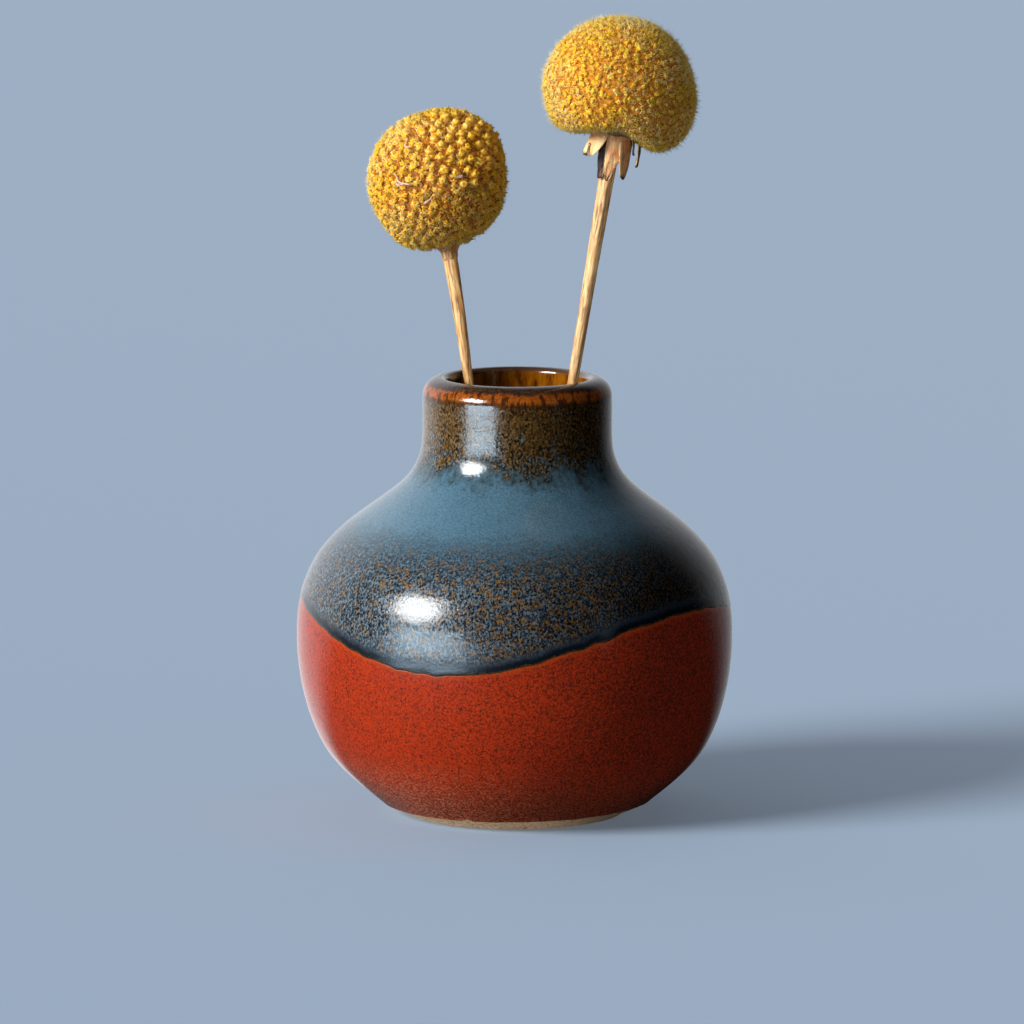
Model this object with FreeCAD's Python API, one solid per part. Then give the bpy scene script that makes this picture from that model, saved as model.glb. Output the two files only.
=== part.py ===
import FreeCAD, Part
import math
import os

from FreeCAD import Vector

# A small thrown stoneware bud vase, glazed in two dips, holding two dried billy buttons.
# Millimetres. +Z is up, the origin is the centre of the foot ring on the table,
# and -Y is the front. Angles round the pot start at the front and grow towards +X.

# --- the pot ---
belly_radius = 42.0            # widest, over the glaze
belly_height = 35.0            # height of the widest point
shoulder_drop = 25.5           # from the widest point up to where the throat starts
throat_rise = 9.5              # from there up to the straight neck
neck_radius = 18.25            # over the glaze
neck_length = 14.5             # straight neck with its lip
clay_wall = 4.0
glaze_thickness = 0.4
lip_round_share = 0.75         # how much of the wall's thickness the outer round of the lip takes
floor_thickness = 7.0          # clay under the well, measured from the table
well_radius = 14.0             # flat part of the inside floor
well_turn_reach = 1.12         # where the floor starts to turn up, times well_radius
well_turn_rise = 0.004         # how far it has risen there, times well_radius

# --- the foot ---
foot_outer_radius = 21.0
foot_ring_width = 3.4
foot_recess = 1.6
bare_clay_height = 2.0         # clay left bare above the table
bare_clay_flare = 4.4          # how far that bare band flares outwards

# --- where the blue dip ends: mean height and three waves of height, lobes, place ---
dip_mean = 39.6
dip_waves = [(1.8, 1, 171.0), (2.8, 2, 66.0), (2.0, 3, 42.0)]

# --- how a stem stands in the pot ---
rim_gap = 0.7                  # stem to the inside of the mouth
floor_gap = 0.3                # stem to the floor glaze
bend_above_lip = 2.0           # a stem is straight up to here and bowed from here on

# --- left stem ---
left_foot = (0.5, 2.5)         # where it stands on the floor
left_rim_angle = 230.5         # where it leans at the mouth
left_foot_radius = 0.8
left_rim_radius = 0.95
left_top_radius = 1.4
left_show_length = 22.0        # from the mouth to the head
left_bow = 3.2                 # extra lean at the head, degrees
left_head_width = 27.4
left_head_height = 27.8
globe_below_share = 0.5
globe_start = 1.2              # lowest florets, above the top of the stem

# --- right stem ---
right_foot = (-1.3, -3.0)
right_rim_angle = 68.0
right_foot_radius = 0.95
right_rim_radius = 1.05
right_top_radius = 1.55
right_show_length = 46.8
right_bow = 0.3
right_head_width = 29.2
right_head_height = 26.0
dome_below_share = 0.42        # share of its height that lies below its widest level
dome_start = -2.0              # its underside comes down past the top of the stem

# --- heads and bracts ---
receptacle_radius = 4.0
receptacle_height = 9.0
receptacle_waist = 0.7         # its narrowest, times the radius of its disc
plain_disc_reach = 1.3         # disc of a head without bracts, times the stem's radius
collar_thickness = 1.0         # underside disc that carries the bracts
collar_margin = 0.5            # disc beyond the outermost bract
hollow_margin = 0.5            # hollow under the florets, beyond the disc
bract_thickness = 0.35

# name, middle angle, sweep, clear of the stem at the top and at the bottom, length
right_bracts = [
    ("bract_left_flap", 272.0, 85.0, 1.5, 2.8, 3.6),
    ("bract_dark_strip", 308.0, 60.0, 0.4, 0.6, 7.6),
    ("bract_front_sheath", 10.0, 56.0, 0.4, 0.6, 7.8),
    ("bract_right_flap", 76.0, 68.0, 0.4, 1.3, 7.2),
    ("bract_right_corner", 96.0, 60.0, 2.1, 2.5, 2.4),
    ("bract_hanging_scale", 88.0, 20.0, 3.7, 3.9, 4.2),
]

# --- worked out from the sizes above ---
total_wall = clay_wall + 2 * glaze_thickness
mouth_radius = neck_radius - total_wall
throat_height = belly_height + shoulder_drop
neck_height = throat_height + throat_rise
vase_height = neck_height + neck_length
lip_outer_round = total_wall * lip_round_share
lip_inner_round = total_wall - lip_outer_round
foot_glaze_radius = foot_outer_radius + bare_clay_flare
well_height = floor_thickness + glaze_thickness
collar_radius = right_top_radius + max(row[3] for row in right_bracts) + bract_thickness + collar_margin

UP = Vector(0, 0, 1)
ORIGIN = Vector(0, 0, 0)


def at_angle(degrees, radius, height):
    """Point at an angle from the front, towards +X."""
    turn = math.radians(degrees)
    return Vector(radius * math.sin(turn), -radius * math.cos(turn), height)


def revolve(edges, degrees=360):
    """Closed outline of edges turned about the axis into one solid."""
    wire = Part.Wire(Part.sortEdges(edges)[0])
    solid = Part.Face(wire).revolve(ORIGIN, UP, degrees)
    if solid.Volume < 0:
        solid.reverse()
    return solid


def line(start, end):
    return Part.makeLine(start, end)


def outline_point(radius, height):
    return Vector(radius, 0, height)


# The outside of the pot is one smooth curve through a few stations, and a straight neck above
# it. Every other skin of the wall goes through the same stations, moved inwards along the
# curve's normal.
def body_stations():
    bowl = [(0.0, 0.0), (0.33, 0.135), (0.62, 0.285), (0.86, 0.53), (0.975, 0.79), (1.0, 1.0)]
    shoulder = [(0.042, 0.33), (0.175, 0.60), (0.388, 0.815), (0.648, 1.0)]
    throat = [(0.198, 0.30), (0.088, 0.60), (0.018, 1.0)]
    spread = belly_radius - foot_glaze_radius
    rise = belly_height - bare_clay_height
    pull = belly_radius - neck_radius
    points = []
    for out, up in bowl:
        points.append(outline_point(foot_glaze_radius + spread * out, bare_clay_height + rise * up))
    for inward, up in shoulder:
        points.append(outline_point(belly_radius - pull * inward, belly_height + shoulder_drop * up))
    for outward, up in throat:
        points.append(outline_point(neck_radius + pull * outward, throat_height + throat_rise * up))
    return points


def neck_stations(depth):
    """Where the curve runs out into the straight of the neck."""
    lower = outline_point(neck_radius - depth, neck_height + neck_length * 0.27)
    upper = outline_point(neck_radius - depth, neck_height + neck_length * 0.38)
    return [lower, upper]


def smooth(points):
    curve = Part.BSplineCurve()
    curve.interpolate(points)
    return curve


def moved_stations(depth):
    """The stations of the outside, moved into the wall by depth."""
    stations = body_stations()
    curve = smooth(stations + neck_stations(0))
    moved = []
    for point in stations:
        direction = curve.tangent(curve.parameter(point))[0]
        moved.append(point + Vector(-direction.z, 0, direction.x) * depth)
    return moved + neck_stations(depth)


def lip_start(depth):
    return outline_point(neck_radius - depth, vase_height - lip_outer_round)


def outside_edges(depth):
    """The curve from the foot and the straight neck up to the lip."""
    points = moved_stations(depth)
    return [smooth(points).toShape(), line(points[-1], lip_start(depth))]


def inside_edges(depth, floor_height):
    """From the axis over the flat of the well, out to the wall and up to the lip."""
    middle = outline_point(0, floor_height)
    well_edge = outline_point(well_radius, floor_height)
    well_turn = outline_point(well_radius * well_turn_reach, floor_height + well_radius * well_turn_rise)
    points = [well_edge, well_turn] + moved_stations(depth)[2:]
    return [line(middle, well_edge), smooth(points).toShape(), line(points[-1], lip_start(depth))]


def arc(centre, radius, first, middle, last):
    """Arc in the outline's plane, by three angles in degrees from the outward direction."""
    points = []
    for degrees in (first, middle, last):
        turn = math.radians(degrees)
        points.append(centre + Vector(math.cos(turn), 0, math.sin(turn)) * radius)
    return Part.Arc(*points).toShape()


def lip_outside(depth):
    """Outer round of the lip, from the neck up to the crest."""
    centre = outline_point(neck_radius - lip_outer_round, vase_height - lip_outer_round)
    return arc(centre, lip_outer_round - depth, 0, 45, 90)


def lip_inside(depth):
    """Inner round of the lip, from the crest down, and the straight below it."""
    centre = outline_point(mouth_radius + lip_inner_round, vase_height - lip_inner_round)
    inner = lip_inner_round - depth
    low = outline_point(centre.x - inner, centre.z)
    return [arc(centre, inner, 90, 135, 180), line(low, lip_start(total_wall - depth))]


def crest(depth):
    return outline_point(neck_radius - lip_outer_round, vase_height - depth)


def make_clay_body():
    """Thrown wall with a lip, a turned foot ring and a shallow recess under it."""
    foot_inner = foot_outer_radius - foot_ring_width
    recess_middle = outline_point(0, foot_recess)
    recess_edge = outline_point(foot_inner - foot_recess, foot_recess)
    ring_inner = outline_point(foot_inner, 0)
    ring_outer = outline_point(foot_outer_radius, 0)
    edges = [
        line(outline_point(0, floor_thickness), recess_middle),
        line(recess_middle, recess_edge),
        line(recess_edge, ring_inner),
        line(ring_inner, ring_outer),
        line(ring_outer, moved_stations(glaze_thickness)[0]),
        lip_outside(glaze_thickness),
    ]
    edges += outside_edges(glaze_thickness)
    edges += lip_inside(glaze_thickness)
    edges += inside_edges(total_wall - glaze_thickness, floor_thickness)
    return revolve(edges)


def make_outer_glaze():
    """Coat from above the bare foot to the crest of the lip, before it is split in two."""
    edges = [
        lip_outside(0),
        line(crest(0), crest(glaze_thickness)),
        lip_outside(glaze_thickness),
        line(moved_stations(glaze_thickness)[0], moved_stations(0)[0]),
    ]
    edges += outside_edges(0)
    edges += outside_edges(glaze_thickness)
    return revolve(edges)


def make_liner_glaze():
    """Coat on the inside, from the crest of the lip down to the well."""
    edges = [
        line(crest(0), crest(glaze_thickness)),
        line(outline_point(0, floor_thickness), outline_point(0, well_height)),
    ]
    edges += lip_inside(0)
    edges += lip_inside(glaze_thickness)
    edges += inside_edges(total_wall, well_height)
    edges += inside_edges(total_wall - glaze_thickness, floor_thickness)
    return revolve(edges)


def dip_height(degrees, reach):
    height = dip_mean
    for amount, lobes, place in dip_waves:
        height += amount * reach ** lobes * math.cos(lobes * math.radians(degrees - place))
    return height


def below_dip_line():
    """Block whose top is the wavy dip surface.

    A wave with n lobes grows as the n-th power of the distance from the axis, which keeps the
    surface smooth in the middle, and it has its full height at the belly.
    """
    half = belly_radius * 1.2
    steps = [half * step / 6 for step in range(-6, 7)]
    rows = []
    for x in steps:
        row = []
        for y in steps:
            reach = math.hypot(x, y) / belly_radius
            turn = math.degrees(math.atan2(x, -y))
            row.append(Vector(x, y, dip_height(turn, reach)))
        rows.append(row)
    surface = Part.BSplineSurface()
    surface.interpolate(rows)
    return surface.toShape().extrude(UP * -vase_height)


def circle_wire(centre, direction, radius):
    return Part.Wire(Part.Circle(centre, direction, radius).toShape())


class Stem:
    """A stem: straight inside the pot, then bowed over to its head.

    foot and rim are points on its axis; rim_axis and head_axis are its directions there.
    """

    def __init__(self, foot, rim_angle, radii, show_length, bow):
        self.foot_radius, self.rim_radius, self.top_radius = radii
        self.foot = Vector(foot[0], foot[1], well_height + floor_gap)
        rim_reach = mouth_radius - rim_gap - self.rim_radius
        self.rim = at_angle(rim_angle, rim_reach, vase_height - lip_inner_round)
        self.rim_axis = (self.rim - self.foot).normalize()
        # the bow starts above the lip and turns further over on the side it already leans to
        self.bend = self.rim + self.rim_axis * (lip_inner_round + bend_above_lip)
        side = Vector(self.rim_axis.x, self.rim_axis.y, 0).normalize()
        lean = math.acos(self.rim_axis.z) + math.radians(bow)
        self.head_axis = UP * math.cos(lean) + side * math.sin(lean)
        middle_axis = (self.rim_axis + self.head_axis).normalize()
        bowed_length = show_length - bend_above_lip
        self.head = self.bend + middle_axis * bowed_length
        self.middle = self.bend + (self.rim_axis + middle_axis).normalize() * (bowed_length * 0.5)
        self.middle_axis = middle_axis

    def solid(self):
        sections = [
            (self.foot, self.rim_axis, self.foot_radius),
            (self.bend, self.rim_axis, self.rim_radius),
        ]
        straight = Part.makeLoft([circle_wire(*section) for section in sections], True, True)
        middle_radius = 0.5 * (self.rim_radius + self.top_radius)
        bowed_sections = [
            (self.bend, self.rim_axis, self.rim_radius),
            (self.middle, self.middle_axis, middle_radius),
            (self.head, self.head_axis, self.top_radius),
        ]
        bowed = Part.makeLoft([circle_wire(*section) for section in bowed_sections], True, False)
        return straight.fuse(bowed)


def head_frame(stem):
    """Placement that puts +Z on the head's axis and the origin at the top of the stem."""
    return FreeCAD.Placement(stem.head, FreeCAD.Rotation(UP, stem.head_axis))


def make_receptacle(stem, carries_bracts):
    """The solid heart of a head, with its neck on the stem."""
    base_radius = collar_radius if carries_bracts else stem.top_radius * plain_disc_reach
    shape = Part.makeCylinder(base_radius, collar_thickness)
    heart_height = receptacle_height - collar_thickness
    heart = Part.makeCone(base_radius * receptacle_waist, receptacle_radius, heart_height)
    heart.translate(UP * collar_thickness)
    shape = shape.fuse(heart).removeSplitter()
    shape.Placement = head_frame(stem)
    return shape


def make_head(width, height, below_share, start, stem, receptacle):
    """Outer shape of the packed florets, open under it for the receptacle.

    It is widest at below_share of its height, and each half is a stretched half ball. Where it
    starts below the top of the stem it has a hollow there, in which the bracts hang.
    """
    radius = width / 2
    level = start + height * below_share
    halves = []
    for low, high, reach in ((0, 90, height * (1 - below_share)), (-90, 0, height * below_share)):
        half = Part.makeSphere(radius, ORIGIN, UP, low, high)
        stretch = FreeCAD.Matrix()
        stretch.scale(1, 1, reach / radius)
        half = half.transformGeometry(stretch)
        half.translate(UP * level)
        halves.append(half)
    head = halves[0].fuse(halves[1])
    if start < 0:
        hollow = Part.makeCylinder(collar_radius + hollow_margin, -start)
        hollow.translate(UP * start)
        head = head.cut(hollow)
    head.Placement = head_frame(stem)
    return head.cut(receptacle)


def make_bract(stem, angle, sweep, top_gap, bottom_gap, length):
    """Thin papery scale hanging from the underside of the receptacle round the stem."""
    across = outline_point(bract_thickness, 0)
    top = outline_point(stem.top_radius + top_gap, 0)
    bottom = outline_point(stem.top_radius + bottom_gap, -length)
    edges = [
        line(top, top + across),
        line(top + across, bottom + across),
        line(bottom + across, bottom),
        line(bottom, top),
    ]
    scale = revolve(edges, degrees=sweep)
    # the outline starts on +X, which is 90 degrees round from the front
    scale.rotate(ORIGIN, UP, angle - 90 - sweep / 2)
    scale.Placement = head_frame(stem).multiply(scale.Placement)
    return scale


def write(name, shape):
    solids = shape.Solids
    if len(solids) != 1 or not shape.isValid():
        raise ValueError(name + " is not one valid solid")
    solids[0].exportStep(os.path.join("parts", name + ".step"))
    box = shape.optimalBoundingBox()
    print("%-22s %9.1f mm3  z %6.2f to %6.2f" % (name, shape.Volume, box.ZMin, box.ZMax))


def build_vase():
    coat = make_outer_glaze()
    below = below_dip_line()
    write("clay_body", make_clay_body())
    write("lower_red_glaze", coat.common(below))
    write("upper_blue_glaze", coat.cut(below))
    write("inner_amber_glaze", make_liner_glaze())


def build_left_flower():
    radii = (left_foot_radius, left_rim_radius, left_top_radius)
    stem = Stem(left_foot, left_rim_angle, radii, left_show_length, left_bow)
    receptacle = make_receptacle(stem, False)
    write("left_stem", stem.solid())
    write("left_receptacle", receptacle)
    globe = make_head(left_head_width, left_head_height, globe_below_share, globe_start, stem, receptacle)
    write("left_floret_globe", globe)
    return stem


def build_right_flower():
    radii = (right_foot_radius, right_rim_radius, right_top_radius)
    stem = Stem(right_foot, right_rim_angle, radii, right_show_length, right_bow)
    receptacle = make_receptacle(stem, True)
    write("right_stem", stem.solid())
    write("right_receptacle", receptacle)
    dome = make_head(right_head_width, right_head_height, dome_below_share, dome_start, stem, receptacle)
    write("right_floret_dome", dome)
    for name, *sizes in right_bracts:
        write(name, make_bract(stem, *sizes))
    return stem


os.makedirs("parts", exist_ok=True)
build_vase()
for side, stem in (("left", build_left_flower()), ("right", build_right_flower())):
    print(side, "flower lifts along", [round(value, 4) for value in stem.rim_axis])
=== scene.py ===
import math

import bpy
import numpy as np
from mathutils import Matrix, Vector


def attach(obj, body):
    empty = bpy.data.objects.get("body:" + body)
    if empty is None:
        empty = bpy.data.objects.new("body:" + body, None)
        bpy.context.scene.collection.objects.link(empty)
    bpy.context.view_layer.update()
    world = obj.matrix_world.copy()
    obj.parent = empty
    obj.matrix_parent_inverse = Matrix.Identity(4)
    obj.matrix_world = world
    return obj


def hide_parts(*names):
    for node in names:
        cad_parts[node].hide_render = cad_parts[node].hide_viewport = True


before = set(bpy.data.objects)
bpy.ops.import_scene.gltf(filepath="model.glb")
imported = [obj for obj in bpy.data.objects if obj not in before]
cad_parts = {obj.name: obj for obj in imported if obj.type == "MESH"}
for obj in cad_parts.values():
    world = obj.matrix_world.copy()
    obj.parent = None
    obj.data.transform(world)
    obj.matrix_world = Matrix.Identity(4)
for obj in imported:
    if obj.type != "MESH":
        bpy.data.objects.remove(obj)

# A stoneware bud vase in two dips of glaze with two dried billy buttons.
# Lengths below are in mm unless a name says otherwise; meshes go out in metres.
mm = 0.001
fullTurn = 2 * math.pi


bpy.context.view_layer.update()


def unit(vectors):
    vectors = np.asarray(vectors, float)
    return vectors / np.linalg.norm(vectors, axis=-1, keepdims=True)


def around(count):
    return np.linspace(0, fullTurn, count, endpoint=False)


def lengthAlong(line):
    # distance gone from the first point to each point of the line
    return np.append(0, np.cumsum(np.linalg.norm(np.diff(line, axis=0), axis=1)))


def sidesOf(ways):
    # two directions square to each way and to each other
    across = unit(np.cross(ways, unit([0.31, 0.87, 0.39])))
    return across, np.cross(ways, across)


def gridFaces(rows, columns, wrapRows=False):
    # corners (i, j) (i, j+1) (i+1, j+1) (i+1, j) of every cell, going round in j, and in i too when wrapped
    i = np.arange(rows if wrapRows else rows - 1)[:, None]
    j = np.arange(columns)[None, :]
    up, on = (i + 1) % rows, (j + 1) % columns
    corners = i * columns + j, i * columns + on, up * columns + on, up * columns + j
    return np.stack(np.broadcast_arrays(*corners), -1).reshape(-1, 4)


def tubeFaces(rows, columns):
    # a grid with a fan of triangles at each end; the two poles are numbered after the last ring
    first = np.arange(columns)
    last, pole = first + (rows - 1) * columns, np.full(columns, rows * columns)
    fans = [np.stack([np.roll(first, -1), first, pole], -1), np.stack([last, np.roll(last, -1), pole + 1], -1)]
    return gridFaces(rows, columns), np.vstack(fans)


def pieceFrom(name, points, *faceSets):
    # points (n, 3) in mm, each face set one array of point numbers; turned the right way out by its volume
    triangles = np.concatenate([faces[:, [0, k, k + 1]] for faces in faceSets for k in range(1, faces.shape[1] - 1)])
    a, b, c = (points[triangles[:, k]] for k in range(3))
    if np.einsum("ij,ij->i", a - points[0], np.cross(b - points[0], c - points[0])).sum() < 0:
        faceSets = [faces[:, ::-1] for faces in faceSets]
    corners = np.concatenate([faces.ravel() for faces in faceSets]).astype(np.int32)
    widths = np.concatenate([np.full(len(faces), faces.shape[1]) for faces in faceSets])
    mesh = bpy.data.meshes.new(name)
    mesh.vertices.add(len(points))
    mesh.vertices.foreach_set("co", (points * mm).astype(np.float32).ravel())
    mesh.loops.add(len(corners))
    mesh.loops.foreach_set("vertex_index", corners)
    mesh.polygons.add(len(widths))
    mesh.polygons.foreach_set("loop_start", (np.cumsum(widths) - widths).astype(np.int32))
    mesh.update(calc_edges=True)
    mesh.polygons.foreach_set("use_smooth", np.ones(len(widths), bool))
    mesh.validate()
    piece = bpy.data.objects.new(name, mesh)
    bpy.context.scene.collection.objects.link(piece)
    return piece


def markPoints(piece, name, values):
    # a number or a vector on every point, for the materials to read
    kind, key = ("FLOAT", "value") if values.ndim == 1 else ("FLOAT_VECTOR", "vector")
    layer = piece.data.attributes.new(name, kind, "POINT")
    layer.data.foreach_set(key, values.astype(np.float32).ravel())


def ease(x, low, high):
    # 3t^2 - 2t^3 with t running from 0 at low to 1 at high
    t = np.clip((x - low) / (high - low), 0, 1)
    return t * t * (3 - 2 * t)


def wander(angle, lobes, seed, share=1.0):
    # sum of sin(n * angle + random) / n^share over the lobe numbers, scaled to about -1..1
    lobes = np.asarray(lobes, float)
    phase = np.random.default_rng(seed).uniform(0, fullTurn, len(lobes))
    weight = lobes ** -share
    waves = np.sin(np.asarray(angle, float)[..., None] * lobes + phase) * weight
    return waves.sum(-1) / math.sqrt((weight ** 2).sum())


def smoothLine(knots, count):
    # natural cubic through the knots over the distance between them, at evenly spread places
    knots = np.array(knots, float)
    gap = np.linalg.norm(np.diff(knots, axis=0), axis=1)
    along = lengthAlong(knots)
    inner = np.arange(1, len(knots) - 1)
    system = np.eye(len(knots))
    system[inner, inner - 1] = gap[:-1]
    system[inner, inner] = 2 * (gap[:-1] + gap[1:])
    system[inner, inner + 1] = gap[1:]
    rise = np.diff(knots, axis=0) / gap[:, None]
    right = np.zeros_like(knots)
    right[inner] = 6 * (rise[1:] - rise[:-1])
    bend = np.linalg.solve(system, right)
    at = np.linspace(0, along[-1], count)
    span = np.clip(np.searchsorted(along, at, side="right") - 1, 0, len(gap) - 1)
    t, g = (at - along[span])[:, None], gap[span][:, None]
    straight = knots[span] + t * (rise[span] - g * (2 * bend[span] + bend[span + 1]) / 6)
    return straight + t ** 2 * bend[span] / 2 + t ** 3 * (bend[span + 1] - bend[span]) / (6 * g)


pot = {
    "stations": [
        (25.4, 2.0), (30.88, 6.46), (35.69, 11.4), (39.68, 19.49), (41.59, 28.07), (42.0, 35.0), (41.0, 43.41),
        (37.84, 50.3), (32.78, 55.78), (26.61, 60.5), (22.95, 63.35), (20.34, 66.2), (18.68, 70.0),
        (18.25, 73.9), (18.25, 75.5)],
    "belly": 42.0,
    "lipStart": 80.9,        # height where the neck turns into the lip
    "lipOuter": 3.6,         # its two rounds
    "lipInner": 1.2,
    "wall": 4.8,
    "coat": 0.4,
    "floor": 7.4,            # inside floor, over the glaze
    "well": 14.0,
    "offTrue": 0.2,          # how far the belly leans one way and the neck the other
    "neckOff": 0.35,
    "swell": 0.06,           # out of round
    "ring": 0.010,           # throwing rings
    "columns": 352,
    "curvePoints": 2400,     # along each curved stretch of the outline, and each straight one
    "straightPoints": 160,
}


def arcPoints(centre, radius, first, last, count):
    turn = np.radians(np.linspace(first, last, count))
    return np.stack([centre[0] + radius * np.cos(turn), centre[1] + radius * np.sin(turn)], -1)


def sideOf(line):
    # unit normal on the right of the way the line runs, which is its air side
    step = unit(np.gradient(line, axis=0))
    return np.stack([step[:, 1], -step[:, 0]], -1)


def potOutline(s):
    # outside from the foot to the lip, over it, and down the inside to the middle of the floor
    many, some = s["curvePoints"], s["straightPoints"]
    outside = smoothLine(s["stations"], many)
    stations = np.array(s["stations"])
    nearest = np.linalg.norm(outside[None] - stations[:, None], axis=2).argmin(1)
    inward = stations - sideOf(outside)[nearest] * s["wall"]
    neck, low = s["stations"][-1]
    bore = neck - s["wall"]
    lipCentre = neck - s["lipOuter"]
    innerCentre = s["lipStart"] + s["lipOuter"] - s["lipInner"]
    floorStart = [(s["well"], s["floor"]), (s["well"] * 1.12, s["floor"] + 0.056)]
    inner = np.vstack([floorStart, inward[2:-2], [(bore, stations[-2, 1]), (bore, low)]])
    line = np.vstack([
        outside,
        np.stack([np.full(some, neck), np.linspace(low, s["lipStart"], some + 2)[1:-1]], -1),
        arcPoints((lipCentre, s["lipStart"]), s["lipOuter"], 0, 90, some),
        arcPoints((lipCentre, innerCentre), s["lipInner"], 90, 180, some // 2)[1:],
        np.stack([np.full(some, bore), np.linspace(innerCentre, low, some + 2)[1:-1]], -1),
        smoothLine(inner, many)[::-1],
        np.stack([np.linspace(s["well"], 0, 242)[1:], np.full(241, s["floor"])], -1)])
    return lengthAlong(line), line, sideOf(line)


outlineAt, outlinePoints, outlineSide = potOutline(pot)
crestAt = outlineAt[outlinePoints[:, 1].argmax()]
potTurn = around(pot["columns"])  # from the front towards +X


def onOutline(at, lift):
    # reach and height of a place along the outline, lifted off it along its normal
    return tuple(np.interp(at, outlineAt, outlinePoints[:, k]) + lift * np.interp(at, outlineAt, outlineSide[:, k])
                 for k in (0, 1))


def heightToAt(height):
    # place along the outside at a height
    outer = outlineAt <= crestAt
    return np.interp(height, outlinePoints[outer, 1], outlineAt[outer])


def thrown(reach, height, turn):
    # (reach sin, -reach cos, height), a little out of round, ringed by the thrower's fingers and off true
    s = pot
    oval = s["swell"] * (np.sin(2 * turn + 0.7) + 0.5 * np.sin(3 * turn + height * 0.05)) * np.clip(reach / 20, 0, 1)
    rings = s["ring"] * (np.sin(height * 1.05 + 0.25 * np.sin(turn + 0.4)) + 0.6 * np.sin(height * 2.3 + turn))
    body = ease(height, 4, 12) * (1 - ease(height, 78, 81))
    wide = reach + oval * ease(height, 0, 8) + rings * body
    lean = -s["offTrue"] * np.exp(-((height - 35) / 20) ** 2) + s["neckOff"] * ease(height, 50, 76)
    return np.stack([wide * np.sin(turn) + lean, -wide * np.cos(turn), height + 0 * turn], -1)


# where the blue dip ends
dip = {
    "mean": 39.6,
    "waves": [(1.8, 1, 171.0), (2.8, 2, 66.0), (2.0, 3, 42.0)],  # height, lobes, place in degrees
    "ragged": 0.16,          # small wander of the edge
    "overlap": 0.15,         # how far the blue lies over the red
    "roll": 0.09,            # how far its edge stands up
    "rollRise": 0.25,
    "rollFall": 1.2,
    "edgeWidth": 1.7,        # finely divided up to here
    "seam": 0.01,            # gap between the two coats inside
    "proud": 0.012,          # how far the blue stands off the outline, fading out over the last mm to the crest
    "fade": 4.0,
}


def dipHeight(turn):
    # mean + sum of height * reach^n * cos(n * (turn - place)), settled onto the outline in a few passes
    level = np.full_like(turn, dip["mean"])
    for _ in range(4):
        reach = onOutline(heightToAt(level), 0)[0] / pot["belly"]
        level = dip["mean"] + sum(a * reach ** n * np.cos(n * (turn - math.radians(p))) for a, n, p in dip["waves"])
    return level


dipAt = heightToAt(dipHeight(potTurn)) + dip["ragged"] * wander(potTurn, range(14, 74, 3), 5, 0.4)


def shellPiece(name, at, lift, fromDip):
    # closed skin: every column is a loop up the outside and back down the inside
    reach, height = onOutline(at, lift)
    points = thrown(reach, height, np.broadcast_to(potTurn, at.shape))
    rows = len(at)
    piece = pieceFrom(name, points.reshape(-1, 3), gridFaces(rows, pot["columns"], wrapRows=True))
    markPoints(piece, "fromDip", fromDip.ravel())
    return piece


def spread(first, last, count):
    # count rows running from first to last, both arrays over the columns
    t = np.linspace(0, 1, count)[:, None]
    return first + (last - first) * t


def blueCoat():
    # up the outside from just below the dip line, its edge rolled, over to the crest and back inside
    d = dip
    near = np.linspace(-d["overlap"], d["edgeWidth"], 28)[:, None]
    top = np.full_like(dipAt, crestAt)
    outer = np.vstack([dipAt + near, spread(dipAt + d["edgeWidth"], top, 210)[1:]])
    gone = outer - dipAt
    rise = 1 - np.exp(-(gone + d["overlap"]) / d["rollRise"])
    roll = d["roll"] * rise * np.exp(-np.clip(gone, 0, None) / d["rollFall"])
    outerLift = d["proud"] + roll * (1 + 0.35 * wander(potTurn, range(5, 40, 2), 9, 0.3))
    outerLift *= 1 - ease(outer, crestAt - d["fade"], crestAt)
    inner = spread(top, dipAt + d["seam"], 24)
    edge = np.vstack([dipAt + d["seam"], dipAt - d["overlap"]])
    at = np.vstack([outer, inner, edge])
    lift = np.vstack([outerLift, np.full_like(inner, -pot["coat"]), np.full_like(edge, 0.004)])
    return shellPiece("blue_dip_coat", at, lift, at - dipAt)


foot = {
    "glazeLine": 2.12,       # height of the red's lower edge
    "tilt": 0.42,            # higher on one side
    "ragged": 0.07,
    "bead": 0.10,            # thickened edge
    "beadWidth": 0.6,
    "beadStart": 0.3,
    "rounding": 0.5,         # radius of the edge
    "edgeWidth": 1.6,        # finely divided up to here
    "chipTurn": -0.36,       # a small flake out of the edge
    "chipWidth": 0.035,
    "chipRise": 0.5,
}


def redCoat():
    # up the outside from a rounded, beaded edge at the foot to the dip line, and back inside
    f = foot
    chip = f["chipRise"] * np.exp(-((potTurn - f["chipTurn"] % fullTurn) / f["chipWidth"]) ** 2)
    ragged = f["ragged"] * wander(potTurn, range(9, 60, 2), 3, 0.4)
    start = heightToAt(f["glazeLine"] + f["tilt"] * np.sin(potTurn) + ragged + chip)
    near = np.linspace(0, 1, 16)[:, None] ** 1.5 * f["edgeWidth"]
    outer = np.vstack([start + near, spread(start + f["edgeWidth"], dipAt, 130)[1:]])
    gone = outer - start
    rounded = np.sqrt(np.clip(1 - (1 - np.clip(gone / f["rounding"], 0, 1)) ** 2, 0, 1))
    bead = f["bead"] * np.clip(gone / f["beadStart"], 0, 1) * np.exp(-(gone / f["beadWidth"]) ** 2)
    outerLift = -pot["coat"] * (1 - rounded) + bead
    inner = spread(dipAt, start, 20)
    at = np.vstack([outer, inner])
    lift = np.vstack([outerLift, np.full_like(inner, -pot["coat"] - 0.004)])
    return shellPiece("red_dip_coat", at, lift, at - dipAt)


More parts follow.
